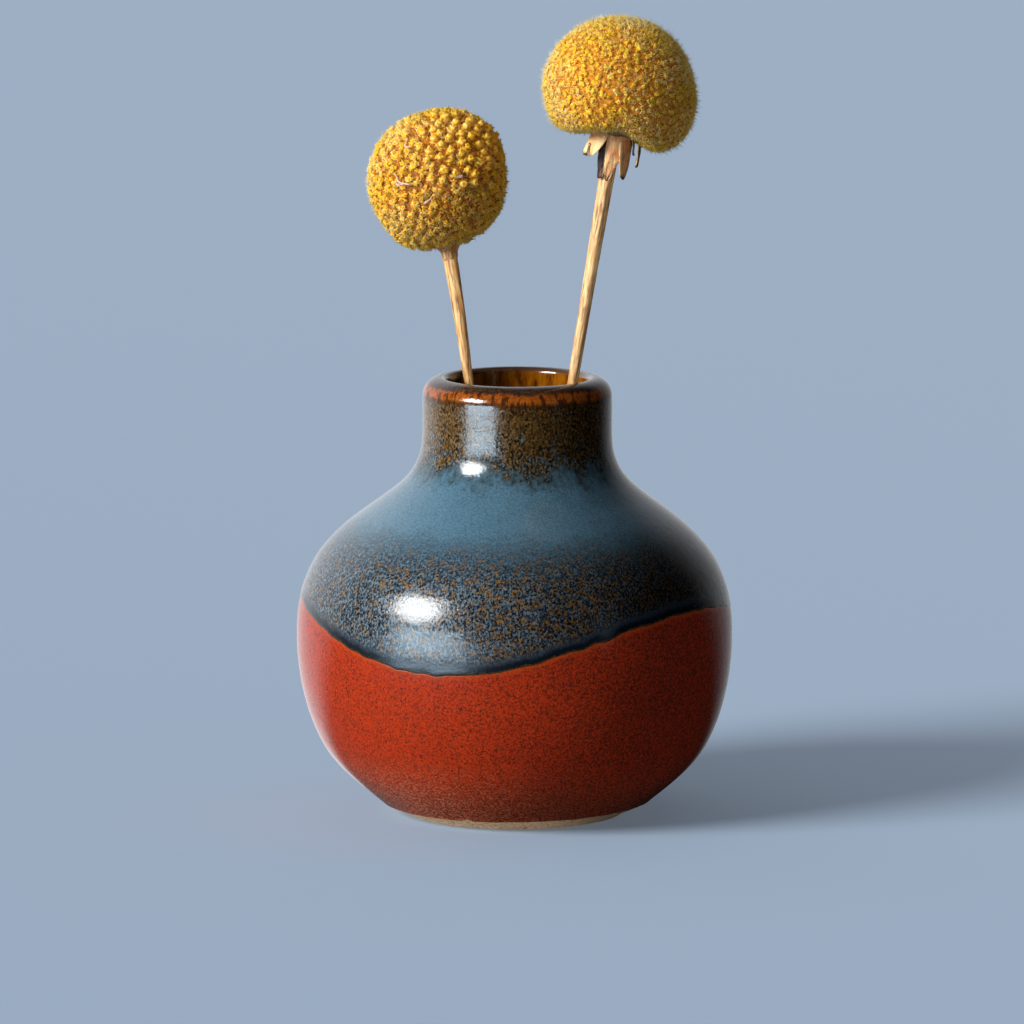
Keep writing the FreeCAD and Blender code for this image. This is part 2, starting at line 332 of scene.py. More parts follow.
def turnedPiece(name, reach, height, columns):
    # a profile from one place on the axis to another, turned full circle and closed by a fan at each end
    rings = thrown(reach[1:-1, None], height[1:-1, None], around(columns)[None, :])
    poles = thrown(reach[[0, -1]], height[[0, -1]], np.zeros(2))
    return pieceFrom(name, np.vstack([rings.reshape(-1, 3), poles]), *tubeFaces(len(rings), columns))


def clayBody():
    # under the foot, up inside the glaze, over the lip and down to the inside floor
    under = np.array([
        (0, 1.6), (6, 1.6), (11, 1.6), (15.6, 1.58), (16.1, 1.45), (17.3, 0.32), (17.7, 0.08), (18.2, 0), (19.4, 0),
        (20.5, 0), (20.9, 0.07), (21.12, 0.26), (21.5, 0.5), (22.6, 1.05), (23.7, 1.52)])
    end = outlineAt[-1]
    stretches = [(0.25, 12, 22), (13, crestAt - 6, 60), (crestAt - 5.8, crestAt + 3, 24), (crestAt + 5, end - 8, 60),
                 (end - 6, end, 4)]
    at = np.concatenate([np.linspace(*stretch) for stretch in stretches])
    reach, height = onOutline(at, -pot["coat"] - 0.02)
    reach[-1] = 0
    return turnedPiece("turned_clay", np.append(under[:, 0], reach), np.append(under[:, 1], height), 192)


def amberLiner():
    # back against the clay from the middle of the floor to the crest, then down the open side
    end = outlineAt[-1]
    back = np.append(np.linspace(end, crestAt + 2, 60), np.linspace(crestAt + 1.8, crestAt, 6))
    shown = np.append(np.linspace(crestAt, crestAt + 6, 30), np.linspace(crestAt + 6.3, end, 110))
    lift = np.append(np.full_like(back, -pot["coat"]), np.zeros_like(shown))
    reach, height = onOutline(np.append(back, shown), lift)
    reach[[0, -1]] = 0
    return turnedPiece("amber_liner", reach, height, 240)


# foot, rim and head are places on the stem's line; flutes are (lobes, depth), grooves (turn, depth, width)
leftFlower = {
    "foot": (0.5, 2.5, 7.7), "rim": (-9.105, 7.506, 83.3), "head": (-12.512, 9.281, 106.179),
    "radii": (0.8, 0.95, 1.4), "bendAfter": 3.2, "headLean": 11.36,
    "twist": 0.9, "flutes": [(3, 0.05), (5, 0.035), (8, 0.02)],
    "grooves": [(-0.9, 0.10, 0.35), (1.2, 0.12, 0.22)], "seed": 21,
}
rightFlower = {
    "foot": (-1.3, -3.0, 7.7), "rim": (10.848, -4.383, 83.3), "head": (18.577, -5.263, 130.665),
    "radii": (0.95, 1.05, 1.55), "bendAfter": 3.2, "headLean": 9.48,
    "twist": -0.5, "flutes": [(3, 0.04), (5, 0.04), (9, 0.02)],
    "grooves": [(0.55, 0.16, 0.24), (-0.7, 0.08, 0.3)], "seed": 22,
}


def headAxis(s):
    # the stem's lean at the rim, turned further over to the side it already leans to
    axis = unit(np.subtract(s["rim"], s["foot"]))
    side = unit(axis * (1, 1, 0))
    lean = math.radians(s["headLean"])
    return np.array([0, 0, math.cos(lean)]) + side * math.sin(lean)


def headTurn(s):
    # rotation that takes +Z to the head's axis the short way
    a = headAxis(s)
    cross = np.array([[0, 0, a[0]], [0, 0, a[1]], [-a[0], -a[1], 0]])
    return np.eye(3) + cross + cross @ cross / (1 + a[2])


def stemPiece(name, s):
    # a tube on a line that is straight in the pot and bowed above it:
    # radius * (1 - flutes - grooves - a little oval), turning slowly as it climbs
    start, rim, end = (np.array(s[k]) for k in ("foot", "rim", "head"))
    axis, top = unit(rim - start), headAxis(s)
    bend = rim + axis * s["bendAfter"]
    straight = start + (bend - start) * np.linspace(0, 1, 90)[:, None]
    reach = np.linalg.norm(end - bend)
    t = np.linspace(0, 1, 200)[1:, None]
    curve = ((2 * t ** 3 - 3 * t ** 2 + 1) * bend + (t ** 3 - 2 * t ** 2 + t) * axis * reach
             + (3 * t ** 2 - 2 * t ** 3) * end + (t ** 3 - t ** 2) * top * reach)
    line = np.vstack([straight, curve])
    along = lengthAlong(line)
    run = unit(np.gradient(line, axis=0))
    across = unit(np.cross([0, 1, 0], run))
    back = np.cross(run, across)
    nearHead = ease(along, along[-1] * 0.75, along[-1])
    radius = np.interp(along, [0, np.linalg.norm(rim - start), along[-1]], s["radii"]) + nearHead * 0.10
    columns = 44
    turn = around(columns)[None, :]
    up = along[:, None]
    place = turn + s["twist"] * (up / along[-1])
    rng = np.random.default_rng(s["seed"])
    shape = np.ones((len(line), columns))
    for lobes, depth in s["flutes"]:
        shape -= depth * (0.5 + 0.5 * np.sin(lobes * place + rng.uniform(0, 6.3) + 0.5 * np.sin(up * 0.13)))
    grooveFade = 0.25 + 0.75 * nearHead[:, None]
    for middle, depth, width in s["grooves"]:
        # turn 0 looks along +X, so the front is a quarter turn back
        away = (turn - (middle - math.pi / 2) + 0.15 * np.sin(up * 0.2) + math.pi) % fullTurn - math.pi
        shape -= depth * grooveFade * np.exp(-(away / width) ** 2)
    knots = 0.5 + 0.5 * np.sin(up * 0.9 + 2 * np.sin(up * 0.31))
    shape -= 0.03 * knots * np.sin(2 * turn + up * 0.11) ** 2
    wide = radius[:, None] * shape
    x, y = wide * np.cos(turn), wide * np.sin(turn)
    points = line[:, None] + x[..., None] * across[:, None] + y[..., None] * back[:, None]
    straightened = np.stack([x, y, up + 0 * x], -1)
    ends = [line[0] - run[0] * 0.05, line[-1]]
    piece = pieceFrom(name, np.vstack([points.reshape(-1, 3), ends]), *tubeFaces(len(line), columns))
    markPoints(piece, "straight", np.vstack([straightened.reshape(-1, 3), [(0, 0, 0), (0, 0, along[-1])]]))
    return piece


def headTube(name, s, rings, poles):
    # rings and poles drawn about the head's own axis, set in place and marked with where they were drawn
    local = np.vstack([rings.reshape(-1, 3), poles])
    piece = pieceFrom(name, local @ headTurn(s).T + s["head"], *tubeFaces(*rings.shape[:2]))
    markPoints(piece, "straight", local)
    return piece


def heartPiece(name, s, profile, ribs):
    # receptacle: a profile turned about the head's axis, ribbed by 1 + 0.04 sin(ribs * turn)
    turn = around(60)
    line = smoothLine(profile, 60)
    reach, height = line[1:-1, :1], line[1:-1, 1:]
    wide = np.clip(reach, 0.02, None) * (1 + 0.04 * np.sin(ribs * turn + height))
    rings = np.stack([wide * np.sin(turn), -wide * np.cos(turn), height + 0 * turn], -1)
    return headTube(name, s, rings, [(0, 0, line[0, 1]), (0, 0, line[-1, 1])])


# turn and half sweep in degrees from the front towards +X; reach from the head's axis at the top and the tip;
# span is the height at the top and the tip; tip is how far the width has closed at the lower end;
# curl is how far the edges roll outwards; hue runs from cream to burnt
bractKeys = "turn", "half", "reach", "span", "tip", "curl", "bulge", "twist", "fork", "hue"
bractShapes = {
    "bract_left_flap": (-64, 46, (3.5, 4.6), (1.6, -3.4), 0.45, 0.7, 0.5, -10, 0.55, 0.06),
    "bract_dark_strip": (-50, 30, (2.5, 2.15), (1.6, -7.4), 0.1, -0.25, 0.15, 4, 0.0, 1.0),
    "bract_front_sheath": (12, 34, (3.3, 2.0), (2.0, -7.6), 0.75, 0.15, 0.45, -16, 0.0, 0.24),
    "bract_right_flap": (60, 40, (3.3, 3.3), (1.4, -6.9), 0.5, 0.2, 0.35, 6, 0.0, 0.48),
    "bract_right_corner": (92, 30, (3.7, 4.2), (1.2, -2.2), 0.8, 0.3, 0.2, 0, 0.0, 0.8),
    "bract_hanging_scale": (76, 12, (5.15, 5.5), (0.4, -4.1), 0.85, 0.25, 0.15, -14, 0.0, 0.9),
}


def bractPiece(name, s, b):
    # grid of side u (-1..1) and fall v (0..1): reach runs from top to tip with a bulge between, plus curl * u^2;
    # the width closes towards the tip; both faces of the scale meet at thin edges
    u = np.linspace(-1, 1, 13)[None, :]
    v = np.linspace(0, 1, 34)[:, None]
    closing = 1 - b["tip"] * v ** 2.2 - (1 - b["tip"]) * np.clip((v - 0.93) / 0.07, 0, 1) ** 2 * 0.75
    notch = b["fork"] * np.exp(-((u - 0.25) / 0.22) ** 2) * v ** 3
    turn = np.radians(b["turn"] + b["half"] * u * closing + b["twist"] * (v - 0.3))
    reach = b["reach"][0] + (b["reach"][1] - b["reach"][0]) * v ** 1.3 + b["bulge"] * np.sin(math.pi * v ** 0.8)
    reach = reach + b["curl"] * u ** 2 * (0.3 + 0.7 * v) + 0.09 * np.sin(5 * u + 9 * v + b["turn"]) * v
    fall = b["span"][0] + (b["span"][1] - b["span"][0]) * (v - notch * v)
    fall = fall + 0.10 * np.sin(7 * u + b["turn"]) * v
    thick = (0.06 + 0.13 * np.sqrt(np.clip(1 - u ** 2, 0, 1))) * (1 - 0.55 * v)
    # out over the outer face and back over the inner one
    u, v, fall = u + 0 * fall, v + 0 * fall, fall + 0 * turn
    outer, inner = (np.stack([wide * np.sin(turn), -wide * np.cos(turn), fall], -1)
                    for wide in (reach + thick, reach - thick))
    rings = np.concatenate([outer, inner[:, ::-1]], 1)
    piece = headTube(name + "_scale", s, rings, [rings[0].mean(0), rings[-1].mean(0)])
    marks = np.stack([np.hstack([u, u[:, ::-1]]), np.hstack([v, v]), np.hstack([1 + 0 * u, -1 + 0 * u])], -1)
    markPoints(piece, "scaleMark", np.vstack([marks.reshape(-1, 3), [(0, 0, 0), (0, 1, 0)]]))
    return piece


# lumps are (angle in the front plane from +X towards up, height, width in degrees);
# under is how far down the flat underside is, on the left and on the right;
# clear is the bare angle round the stem; fuzz is the number of hairs and their length;
# a site holds so many copies of a floret, cluster mm apart; closed buds lie within beadSpread degrees of beadWay
leftHead = {
    "centre": (-15.02, 10.65, 121.35), "radius": 13.35,
    "lumps": [(66, 1.0, 24), (38, 0.8, 22), (-122, 0.8, 20), (-108, 0.5, 16), (-29, 0.3, 20), (182, 0.25, 40)],
    "sites": 460, "seed": 31, "floret": 0.86, "jitter": 0.26, "core": 0.75, "under": None, "clear": 9.0,
    "fuzz": (6500, 0.6), "copies": 5, "cluster": 0.78,
    "beadWay": (0.32, -0.66, 0.66), "beadSpread": 38.0, "beadSize": 0.98,
}
rightHead = {
    "centre": (19.71, -5.35, 140.7), "radius": 14.1,
    "lumps": [(-38, 1.7, 38), (88, -0.3, 40), (175, 0.5, 35)],
    "sites": 2400, "seed": 32, "floret": 0.76, "jitter": 0.40, "core": 0.6, "under": (8.4, 13.2), "clear": 22.0,
    "fuzz": (16000, 0.7), "copies": 1, "cluster": 0.0,
    "beadWay": (0.3, -0.7, 0.6), "beadSpread": 0.0, "beadSize": 1.0,
}


def evenWays(count):
    # golden angle spiral over a ball: height 1 - (2k + 1) / count, turn k * 137.5 degrees
    k = np.arange(count)
    height = 1 - (2 * k + 1) / count
    turn = k * math.pi * (3 - math.sqrt(5))
    flat = np.sqrt(1 - height ** 2)
    return np.stack([flat * np.cos(turn), flat * np.sin(turn), height], -1)


def headReach(ways, h):
    # radius + sum of height * exp(-(angle to the lump / width)^2)
    reach = np.full(ways.shape[:-1], h["radius"], float)
    for angle, height, width in h["lumps"]:
        way = np.array([math.cos(math.radians(angle)), 0, math.sin(math.radians(angle))])
        away = np.degrees(np.arccos(np.clip(ways @ way, -1, 1)))
        reach += height * np.exp(-(away / width) ** 2)
    if h["under"]:
        # flat underside, deeper on the right: (reach^-12 + limit^-12)^(-1/12)
        down = np.clip(ways @ np.array([0, -0.15, -0.989]), 0.02, None)
        left, right = h["under"]
        limit = (left + (right - left) * ease(9 * ways[..., 0] / down, 0, 7)) / down
        reach = (reach ** -12.0 + limit ** -12.0) ** (-1 / 12)
    return reach


# one floret is four rings of ten points between two poles: (radius at a lobe, at a notch, height) for each ring
openFloret = [(0.16, 0.16, -1.15), (0.34, 0.30, -0.22), (0.78, 0.36, 0.16), (0.22, 0.18, -0.10)]
openPoles = (-1.35, 0.14)
closedBud = [(0.34, 0.34, -0.95), (0.68, 0.60, -0.22), (0.58, 0.40, 0.34), (0.22, 0.12, 0.44)]
closedPoles = (-1.2, 0.30)
ringMarks = [(0.05, 0.0), (0.5, 0.0), (1.0, 0.0), (0.55, 0.6)]  # how far out each ring is, and its share of eye
perRing = 10
ringPoints = len(openFloret) * perRing
floretVary = {"lobe": 0.16, "tip": 0.20, "tipRing": 2}


def floretMesh(name, places, ways, sizes, closed, rng):
    # every floret: place + size * (spun ring points in the plane across its way + height along it)
    count = len(places)
    lobe = np.arange(perRing) % 2 == 0
    openRings, budRings = np.array(openFloret), np.array(closedBud)
    rings = openRings[None] + (budRings - openRings)[None] * closed[:, None, None]
    radius = np.where(lobe[None, None], rings[:, :, :1], rings[:, :, 1:2])
    radius = radius * (1 + floretVary["lobe"] * rng.standard_normal((count, 1, perRing)) * lobe)
    tipRing = (np.arange(len(openFloret)) == floretVary["tipRing"])[None, :, None]
    height = np.repeat(rings[:, :, 2:], perRing, 2)
    height = height + floretVary["tip"] * rng.standard_normal((count, 1, perRing)) * lobe * tipRing
    turn = rng.uniform(0, fullTurn, (count, 1, 1)) + np.arange(perRing) * fullTurn / perRing
    across, beside = sidesOf(ways)
    x, y = radius * np.cos(turn), radius * np.sin(turn)
    body = (x[..., None] * across[:, None, None] + y[..., None] * beside[:, None, None]
            + height[..., None] * ways[:, None, None])
    low, high = (first + (last - first) * closed for first, last in zip(openPoles, closedPoles))
    poles = np.stack([low[:, None] * ways, high[:, None] * ways], 1)
    points = np.concatenate([body.reshape(count, ringPoints, 3), poles], 1) * sizes[:, None, None] + places[:, None]
    shift = (np.arange(count) * (ringPoints + 2))[:, None, None]
    quads, fans = ((part[None] + shift).reshape(-1, part.shape[1]) for part in tubeFaces(len(openFloret), perRing))
    piece = pieceFrom(name, points.reshape(-1, 3), quads, fans)
    # marks: how far out from the root, how pale, and how much orange eye
    opened = 1 - 0.75 * closed[:, None]
    marks = np.zeros((count, ringPoints + 2, 3))
    for k, last in ((0, 0.7), (2, 1.0)):
        marks[:, :ringPoints, k] = np.repeat([m[k // 2] for m in ringMarks], perRing)
        marks[:, -1, k] = last
    marks[:, :, 2] *= opened
    marks[:, :, 1] = 0.5 * closed[:, None] + (1 - 0.5 * closed[:, None]) * rng.uniform(0, 1, (count, 1))
    markPoints(piece, "floretMark", marks.reshape(-1, 3))
    return piece


def corePiece(name, h):
    # dark heart under the florets, the head's shape drawn in by the core depth
    rows, columns = 60, 96
    lift, turn = np.linspace(-math.pi / 2, math.pi / 2, rows + 2)[:, None], around(columns)
    ways = np.stack([np.cos(lift) * np.cos(turn), np.cos(lift) * np.sin(turn), np.sin(lift) + 0 * turn], -1)
    points = ways * (headReach(ways, h) - h["core"])[..., None] + h["centre"]
    return pieceFrom(name, np.vstack([points[1:-1].reshape(-1, 3), points[[0, -1], 0]]), *tubeFaces(rows, columns))


def clearOf(ways, s, angle):
    # those that keep an angle away from the stem
    return ways[ways @ -headAxis(s) < math.cos(math.radians(angle))]


def headFlorets(name, s, h):
    # each site is one floret, or a cluster: one in the middle standing proud and the others leaning out round it
    rng = np.random.default_rng(h["seed"])
    sites = evenWays(h["sites"]) @ headTurn(s).T
    sites = unit(sites + rng.standard_normal(sites.shape) * h["jitter"] / h["radius"])
    sites = clearOf(sites, s, h["clear"])
    away = np.degrees(np.arccos(np.clip(sites @ unit(h["beadWay"]), -1, 1)))
    bead = away + rng.normal(0, 5, len(away)) < h["beadSpread"]
    copies = h["copies"]
    many = (len(sites), copies)
    across, beside = sidesOf(sites)
    spin = rng.uniform(0, fullTurn, (len(sites), 1)) + np.arange(copies) * fullTurn / max(copies - 1, 1)
    out = np.cos(spin)[..., None] * across[:, None] + np.sin(spin)[..., None] * beside[:, None]
    ring = (np.arange(copies) > 0) * 1.0
    apart = h["cluster"] / h["radius"] * np.where(bead, 0.74, 1.0)
    ways = unit(sites[:, None] + out * ring[None, :, None] * apart[:, None, None])
    closed = np.where(bead[:, None], rng.uniform(0.8, 1.0, many), np.clip(rng.normal(0.22, 0.24, many), 0, 0.9))
    size = np.where(bead, h["beadSize"], h["floret"])[:, None] * rng.uniform(0.80, 1.20, many)
    size = size * (1 + 0.22 * (copies > 1) * (ring == 0))
    proud = (copies > 1) * np.where(ring == 0, 0.2, -0.2) * np.where(bead, 1.6, 0.6)[:, None]
    reach = headReach(ways, h) - 0.25 - 0.3 * rng.random(many) * h["floret"] + proud
    places = ways * reach[..., None] + h["centre"]
    aim = unit(ways + 0.55 * out * ring[None, :, None] + rng.standard_normal(ways.shape) * 0.20)
    return floretMesh(name, places.reshape(-1, 3), aim.reshape(-1, 3), size.ravel(), closed.ravel(), rng)


def fuzzPiece(name, s, h):
    # fine closed hairs: a three-sided base and a point, standing between the florets
    count, long = h["fuzz"]
    rng = np.random.default_rng(h["seed"] + 50)
    ways = clearOf(unit(rng.standard_normal((count, 3))), s, h["clear"] + 6)
    count = len(ways)
    base = ways * (headReach(ways, h) - 0.5)[:, None] + h["centre"]
    across, beside = sidesOf(ways)
    turn = around(3)[None, :, None]
    ring = 0.06 * (np.cos(turn) * across[:, None] + np.sin(turn) * beside[:, None])
    reach = (0.5 + rng.uniform(0.1, long, count))[:, None]
    tips = base + (ways + rng.standard_normal(ways.shape) * 0.28) * reach
    points = np.concatenate([base[:, None] + ring, tips[:, None]], 1).reshape(-1, 3)
    one = np.array([(0, 1, 3), (1, 2, 3), (2, 0, 3), (2, 1, 0)])
    piece = pieceFrom(name, points, (one[None] + (np.arange(count) * 4)[:, None, None]).reshape(-1, 3))
    markPoints(piece, "floretMark", np.tile([(0.7, 0.9, 0)] * 3 + [(1.3, 1.0, 0)], (count, 1)))
    return piece


# start and end as shares of the head's radius to the right and up, then half width and lift
scraps = [((-0.65, 0.17), (-0.40, 0.0), 0.17, 0.12), ((-0.62, 0.04), (-0.46, 0.03), 0.13, 0.1),
          ((0.24, 0.24), (0.36, 0.12), 0.34, 0.08), ((-0.08, -0.14), (-0.20, -0.26), 0.2, 0.1),
          ((-0.47, 0.64), (-0.40, 0.52), 0.14, 0.08)]


def scrapPiece(name, h):
    # dry petal scraps: short flattened tubes bent over the head, thin at both ends
    allPoints, allFaces, start = [], [], 0
    rows, columns = 14, 8
    t = np.linspace(0, 1, rows)[:, None]
    turn = around(columns)[None, :]
    for (x0, z0), (x1, z1), width, lift in scraps:
        flat = np.hstack([x0 + (x1 - x0) * t + 0.02 * np.sin(9 * t), z0 + (z1 - z0) * t + 0.02 * np.sin(7 * t + 1)])
        way = np.stack([flat[:, 0], -np.sqrt(1 - (flat ** 2).sum(1)), flat[:, 1]], -1)
        reach = headReach(way, h) + 0.12 + lift * np.sin(math.pi * t[:, 0] ** 0.7)
        line = way * reach[:, None] + h["centre"]
        run = unit(np.gradient(line, axis=0))
        side = np.cross(run, way)
        wide = width * (0.12 + np.sin(math.pi * t ** 1.4) ** 0.8) * (1 + 0.3 * np.sin(17 * t))
        x, y = wide * np.cos(turn), 0.3 * wide * np.sin(turn)
        ring = x[..., None] * side[:, None] + y[..., None] * way[:, None]
        allPoints += [(line[:, None] + ring).reshape(-1, 3), line[:1] - run[:1] * 0.05, line[-1:] + run[-1:] * 0.05]
        allFaces.append([part + start for part in tubeFaces(rows, columns)])
        start += rows * columns + 2
    piece = pieceFrom(name, np.vstack(allPoints), *(np.vstack(part) for part in zip(*allFaces)))
    markPoints(piece, "straight", np.zeros((start, 3)))
    return piece


def paint(red, green, blue):
    # screen colour 0..255 to the linear colour a shader wants
    c = np.array([red, green, blue]) / 255.0
    linear = np.where(c <= 0.04045, c / 12.92, ((c + 0.055) / 1.055) ** 2.4)
    return (*[float(v) for v in linear], 1.0)


def treeOf(*values):
    # the node tree that the sockets among the values live in
    return next(value.id_data for value in values if isinstance(value, bpy.types.NodeSocket))


def plug(value, socket):
    if isinstance(value, bpy.types.NodeSocket):
        socket.id_data.links.new(value, socket)
    else:
        socket.default_value = value


def put(tree, kind, inputs=None, **settings):
    node = tree.nodes.new("ShaderNode" + kind)
    for key, value in settings.items():
        setattr(node, key, value)
    for key, value in (inputs or {}).items():
        plug(value, node.inputs[key])
    return node


def chained(operation, values, clamp):
    # ((a o b) o c) and so on, held to 0..1 at the end when clamped
    result = values[0]
    for value in values[1:]:
        node = put(treeOf(result, value), "Math", {0: result, 1: value}, operation=operation)
        result = node.outputs[0]
    node.use_clamp = clamp
    return result


def plus(*values, clamp=False):
    return chained("ADD", values, clamp)


def minus(*values, clamp=False):
    return chained("SUBTRACT", values, clamp)


def times(*values, clamp=False):
    return chained("MULTIPLY", values, clamp)


def ratio(*values):
    return chained("DIVIDE", values, False)


def swing(noise, size):
    # noise of 0..1 turned into -size / 2..size / 2
    return times(minus(noise, 0.5), size)


def easeNode(value, low, high, first=0.0, last=1.0):
    # first up to low and last from high on, eased between them; low may be the larger of the two
    inputs = {"Value": value, "From Min": low, "From Max": high, "To Min": first, "To Max": last}
    return put(treeOf(*inputs.values()), "MapRange", inputs, interpolation_type="SMOOTHSTEP").outputs[0]


def over(share, under, top):
    return put(treeOf(share, under, top), "Mix", {0: share, 6: under, 7: top}, data_type="RGBA").outputs[2]


def rampNode(value, stops):
    node = put(treeOf(value), "ValToRGB", {0: value})
    line = node.color_ramp.elements
    while len(line) < len(stops):
        line.new(0.5)
    for element, (place, colour) in zip(line, stops):
        element.position, element.color = place, paint(*colour)
    return node.outputs[0]


def noiseNode(where, scale, detail=2.0, rough=0.5):
    inputs = {"Vector": where, "Scale": scale, "Detail": detail, "Roughness": rough}
    return put(treeOf(where), "TexNoise", inputs).outputs[0]


def vectorNode(operation, first, second, key=1, output=0):
    return put(treeOf(first), "VectorMath", {0: first, key: second}, operation=operation).outputs[output]


def shifted(where, *shift):
    return vectorNode("ADD", where, shift)


def stretched(where, *size):
    return vectorNode("MULTIPLY", where, size)


def scaled(colour, share):
    return vectorNode("SCALE", colour, share, "Scale")


def inMm(tree):
    return stretched(put(tree, "TexCoord").outputs["Object"], 1000, 1000, 1000)


def partsOf(vector):
    return put(treeOf(vector), "SeparateXYZ", {0: vector}).outputs


def markNode(tree, name, output="Fac"):
    return put(tree, "Attribute", attribute_name=name).outputs[output]


def groupOf(name, inputs, outputs):
    # an empty effect group; an input is given by its kind, or by the number it starts from
    tree = bpy.data.node_groups.new(name, "ShaderNodeTree")
    for label, given in inputs.items():
        kind = given if isinstance(given, str) else "Float"
        socket = tree.interface.new_socket(label, in_out="INPUT", socket_type="NodeSocket" + kind)
        if kind == "Float":
            socket.default_value = given
    for label, kind in outputs.items():
        tree.interface.new_socket(label, in_out="OUTPUT", socket_type="NodeSocket" + kind)
    return tree, tree.nodes.new("NodeGroupInput").outputs, tree.nodes.new("NodeGroupOutput").inputs


def use(group, **inputs):
    node = put(treeOf(*inputs.values()), "Group", node_tree=group)
    for key, value in inputs.items():
        plug(value, node.inputs[key])
    return node.outputs


def material(name):
    made = bpy.data.materials.new(name)
    made.use_nodes = True
    tree = made.node_tree
    tree.nodes.clear()
    surface = put(tree, "BsdfPrincipled")
    put(tree, "OutputMaterial", {0: surface.outputs[0]})
    return made, tree, surface.inputs


def dress(surface, colour, height, values, strength=1.0, distance=mm):
    # colour and bump into the surface, then its other values by the names of its sockets
    bump = {"Height": height, "Strength": strength, "Distance": distance}
    looks = {"Base Color": colour, "Normal": put(treeOf(height), "Bump", bump).outputs[0], **values}
    for key, value in looks.items():
        plug(value, surface[key])


def speckleGroup():
    # spots of one size: noise pushed through a threshold set by how much they cover
    inputs = {"Where": "Vector", "Size": 0.5, "Cover": 0.3, "Soft": 0.05}
    tree, given, out = groupOf("Speckle", inputs, {"Mask": "Float"})
    noise = noiseNode(given["Where"], ratio(1.0, given["Size"]), 3.0, 0.72)
    level = minus(0.66, times(given["Cover"], 0.32))
    plug(easeNode(noise, minus(level, given["Soft"]), plus(level, given["Soft"])), out["Mask"])
    return tree


def glazeSkinGroup():
    # the fine pull of a fired glaze: slow ripple, orange peel and rare pinholes, as a height in mm
    inputs = {"Where": "Vector", "Ripple": 0.01, "Peel": 0.003, "Pinholes": 0.01}
    tree, given, out = groupOf("GlazeSkin", inputs, {"Height": "Float"})
    ripple = times(noiseNode(given["Where"], 0.45, 1.0), given["Ripple"])
    peel = times(noiseNode(given["Where"], 2.3, 2.0), given["Peel"])
    cell = put(tree, "TexVoronoi", {"Vector": given["Where"], "Scale": 0.42}).outputs["Distance"]
    hole = times(easeNode(cell, 0.05, 0.11, -1.0, 0.0), given["Pinholes"])
    plug(plus(ripple, peel, hole), out["Height"])
    return tree


def fibreGroup():
    # lengthwise fibres of dry stem: noise drawn out along the third coordinate, in two widths
    inputs = {"Where": "Vector", "Light": "Color", "Mid": "Color", "Dark": "Color", "Fineness": 1.0}
    tree, given, out = groupOf("DryFibre", inputs, {"Colour": "Color", "Height": "Float"})
    drawn = stretched(given["Where"], 1, 1, 0.07)
    broad = noiseNode(drawn, times(given["Fineness"], 1.1), 2.0)
    fine = noiseNode(drawn, times(given["Fineness"], 3.4), 3.0, 0.6)
    patch = noiseNode(stretched(shifted(given["Where"], 7, 3, 0), 0.5, 0.5, 0.25), 0.8, 2.0)
    colour = over(easeNode(broad, 0.38, 0.62), given["Dark"], given["Mid"])
    colour = over(easeNode(fine, 0.42, 0.62), colour, given["Light"])
    colour = over(easeNode(patch, 0.56, 0.72, 0.0, 0.7), colour, given["Dark"])
    plug(colour, out["Colour"])
    plug(plus(times(broad, 0.12), times(fine, 0.08)), out["Height"])
    return tree


def floretToneGroup():
    # from the dark root of a floret through gold to a cream tip, broken up by fine noise, with an orange eye
    inputs = {"Mark": "Vector", "Where": "Vector", "Root": "Color", "Gold": "Color", "Cream": "Color", "Eye": "Color",
              "Creaminess": 0.5, "EyeShare": 0.6}
    tree, given, out = groupOf("FloretTone", inputs, {"Colour": "Color", "Height": "Float"})
    outwards, paleness, eye = partsOf(given["Mark"])
    drift = noiseNode(given["Where"], 0.15, 2.0)
    fine = noiseNode(given["Where"], 2.4, 3.0, 0.7)
    finer = noiseNode(shifted(given["Where"], 11, 5, 23), 3.6, 2.0)
    climb = plus(times(outwards, 0.62), swing(fine, 1.5))
    colour = over(easeNode(climb, 0.10, 0.46), given["Root"], given["Gold"])
    pale = plus(times(paleness, 0.5), times(easeNode(drift, 0.38, 0.62), 0.7))
    pale = times(pale, given["Creaminess"], clamp=True)
    tip = easeNode(plus(climb, swing(finer, 0.9)), 0.44, 0.74)
    colour = over(times(tip, pale), colour, given["Cream"])
    some = easeNode(paleness, minus(1.0, given["EyeShare"]), minus(1.1, given["EyeShare"]))
    plug(over(times(easeNode(eye, 0.2, 0.6), some), colour, given["Eye"]), out["Colour"])
    plug(fine, out["Height"])
    return tree


speckle, glazeSkin, dryFibre, floretTone = speckleGroup(), glazeSkinGroup(), fibreGroup(), floretToneGroup()
print("effect groups built")

